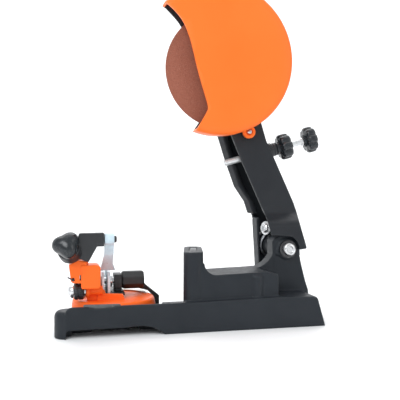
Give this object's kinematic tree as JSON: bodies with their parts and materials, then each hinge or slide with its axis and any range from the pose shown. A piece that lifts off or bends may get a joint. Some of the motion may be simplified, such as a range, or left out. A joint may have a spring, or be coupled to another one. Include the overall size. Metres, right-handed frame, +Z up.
{
  "type": "chainsaw chain sharpener",
  "caption": "Bench-top electric chain sharpener: cast base, swivelling chain vise, swing-down motor head with guarded grinding wheel and screw depth stop.",
  "frame": {"origin": "On the flat underside of the base between the vise and the depth-stop post, in the plane of the grinding wheel.", "axes": "+X along the base from the vise towards the head hinge, +Y away from the operator towards the motor, +Z up."},
  "size_m": [0.253, 0.1876, 0.3236],
  "materials": {
    "cast_black": "semi-gloss dark grey paint on a sand-textured casting",
    "orange_shell": "semi-gloss moulded orange",
    "orange_metal": "semi-gloss orange paint on a die casting",
    "zinc_steel": "bright zinc-plated steel",
    "plain_steel": "plain rolled steel plate",
    "black_plastic": "satin black moulded plastic",
    "motor_plastic": "satin black housing",
    "grip_rubber": "soft matt rubber",
    "abrasive": "resin-bonded brown abrasive, grainy",
    "guard_steel": "black painted sheet",
    "red_plastic": "red rocker",
    "bronze": "sintered bronze",
    "copper": "copper winding and commutator",
    "lamination": "laminated core",
    "carbon": "carbon brush",
    "scale_plate": "satin aluminium scale",
    "spring_steel": "oiled spring steel"
  },
  "bodies": {
    "base": {"base_casting": "cast_black", "stop_anvil": "black_plastic", "angle_pointer": "plain_steel", "hinge_bolt": "zinc_steel", "hinge_washer": "zinc_steel", "hinge_nut": "zinc_steel", "hinge_washer_rear": "zinc_steel", "return_spring": "spring_steel"},
    "head": {"arm_casting": "cast_black", "hinge_bush": "bronze", "threaded_bush": "black_plastic", "wheel_cover": "orange_shell", "cover_screw": "zinc_steel", "back_guard": "guard_steel", "guard_screw": "zinc_steel", "motor_housing": "motor_plastic", "rear_cap": "motor_plastic", "stator": "lamination", "front_bearing": "plain_steel", "rear_bearing": "plain_steel", "carbon_brush_left": "carbon", "carbon_brush_right": "carbon", "cord_inlet": "grip_rubber", "handle_stem": "motor_plastic", "handle_grip": "grip_rubber", "switch_box": "black_plastic", "spring_screw": "zinc_steel"},
    "spindle_group": {"grinding_wheel": "abrasive", "spindle": "plain_steel", "inner_flange": "plain_steel", "outer_flange": "plain_steel", "wheel_nut": "zinc_steel", "armature": "copper", "commutator": "copper", "cooling_fan": "motor_plastic"},
    "rocker": {"rocker_switch": "red_plastic"},
    "rod": {"depth_rod": "zinc_steel"},
    "rod_knob": {"rod_end_knob": "black_plastic"},
    "rod_lock": {"rod_lock_knob": "black_plastic"},
    "table": {"turntable": "orange_metal", "pivot_bolt": "zinc_steel", "rail_bed": "plain_steel", "fixed_rail": "zinc_steel", "rail_support": "plain_steel", "clamp_block": "black_plastic", "stop_bracket": "black_plastic", "pawl_pin": "zinc_steel", "dome_bolt": "zinc_steel", "thrust_washer": "zinc_steel", "tower_pin": "spring_steel", "angle_scale": "scale_plate"},
    "jaw": {"moving_rail": "zinc_steel", "jaw_washer": "zinc_steel"},
    "clamp": {"clamp_lever": "black_plastic", "clamp_screw": "zinc_steel"},
    "stop_knob_body": {"stop_knob": "black_plastic", "stop_knob_screw": "zinc_steel"},
    "pawl": {"chain_pawl": "zinc_steel"},
    "nut": {"knurled_nut": "black_plastic"},
    "table_lock": {"table_lock_knob": "black_plastic"}
  },
  "joints": [
    {"name": "head_tilt", "type": "hinge", "parent": "base", "child": "head", "pos_m": [0.094, 0, 0.0665], "axis": [0, -1, 0], "range_deg": [0, 50.5], "stiffness_Nm_per_rad": 2.6, "springref_deg": -63.03},
    {"name": "wheel_spin", "type": "hinge", "parent": "head", "child": "spindle_group", "pos_m": [0.034, 0, 0.2324], "axis": [0, 1, 0], "continuous": true},
    {"name": "rocker_press", "type": "hinge", "parent": "head", "child": "rocker", "pos_m": [0.05756, 0.084, 0.25113], "axis": [0.6222, 0, -0.7828], "range_deg": [0, 14]},
    {"name": "depth_feed", "type": "slide", "parent": "head", "child": "rod", "axis": [0.9637, 0, 0.267], "range_m": [0, 0.01]},
    {"name": "depth_turn", "type": "hinge", "parent": "rod", "child": "rod_knob", "pos_m": [0.12728, 0.016, 0.1716], "axis": [0.9637, 0, 0.267], "range_deg": [0, 3610]},
    {"name": "rod_lock_turn", "type": "hinge", "parent": "head", "child": "rod_lock", "pos_m": [0.0392, 0.016, 0.1472], "axis": [0.9637, 0, 0.267], "range_deg": [0, 180]},
    {"name": "table_swivel", "type": "hinge", "parent": "base", "child": "table", "pos_m": [-0.067, 0, 0.0186], "axis": [0, 0, 1], "range_deg": [-35, 35]},
    {"name": "table_lock_turn", "type": "hinge", "parent": "table", "child": "table_lock", "pos_m": [-0.067, 0, 0.006], "axis": [0, 0, 1], "range_deg": [0, 180]},
    {"name": "clamp_turn", "type": "hinge", "parent": "table", "child": "clamp", "pos_m": [-0.059, 0.007, 0.0404], "axis": [1, 0, 0], "range_deg": [0, 108.5]},
    {"name": "jaw_slide", "type": "slide", "parent": "table", "child": "jaw", "axis": [-1, 0, 0], "range_m": [0, 0.0012]},
    {"name": "stop_knob_turn", "type": "hinge", "parent": "table", "child": "stop_knob_body", "pos_m": [-0.1086, -0.041, 0.0776], "axis": [-0.2494, -0.798, 0.5486], "range_deg": [0, 180]},
    {"name": "pawl_flip", "type": "hinge", "parent": "table", "child": "pawl", "pos_m": [-0.073, -0.027, 0.0802], "axis": [-1, 0, 0], "range_deg": [0, 85], "stiffness_Nm_per_rad": 0.02, "springref_deg": -20.05},
    {"name": "nut_turn", "type": "hinge", "parent": "table", "child": "nut", "pos_m": [-0.098, -0.0192, 0.0359], "axis": [1, 0, 0], "range_deg": [0, 180]}
  ],
  "couplings": [
    {"joint": "depth_turn", "follows": "depth_feed", "rad_per_m": 6283.2},
    {"joint": "clamp_turn", "follows": "jaw_slide", "rad_per_m": 1570.8}
  ]
}
